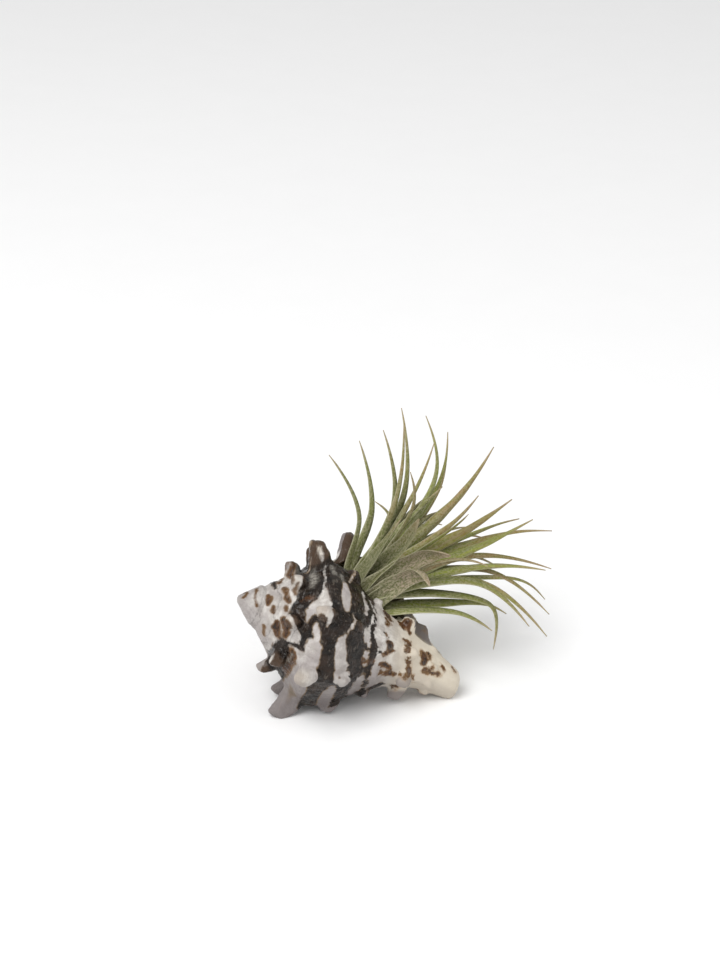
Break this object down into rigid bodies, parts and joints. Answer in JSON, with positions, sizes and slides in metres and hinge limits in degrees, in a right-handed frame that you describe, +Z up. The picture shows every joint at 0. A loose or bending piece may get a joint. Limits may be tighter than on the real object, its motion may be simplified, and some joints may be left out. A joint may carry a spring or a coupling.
{
  "type": "air plant in a murex shell",
  "caption": "Small air plant with narrow channelled silver-green leaves, wedged in the mouth of a spiny black, brown and white murex shell that lies on a table",
  "frame": {"origin": "on the table, below the middle of the whole object's box", "axes": "+X from the shell's spire towards its canal, -Y towards the viewer's side where the shell shows its painted back, +Z up"},
  "size_m": [0.1063, 0.0916, 0.0774],
  "materials": {
    "shell": "worn half-gloss shell with black-brown bands on white",
    "leaves": "dull, with fine silver scales",
    "roots": "dry and wiry"
  },
  "bodies": {
    "root": {"murex_shell": "shell", "rosette": "leaves", "roots": "roots"}
  },
  "joints": []
}
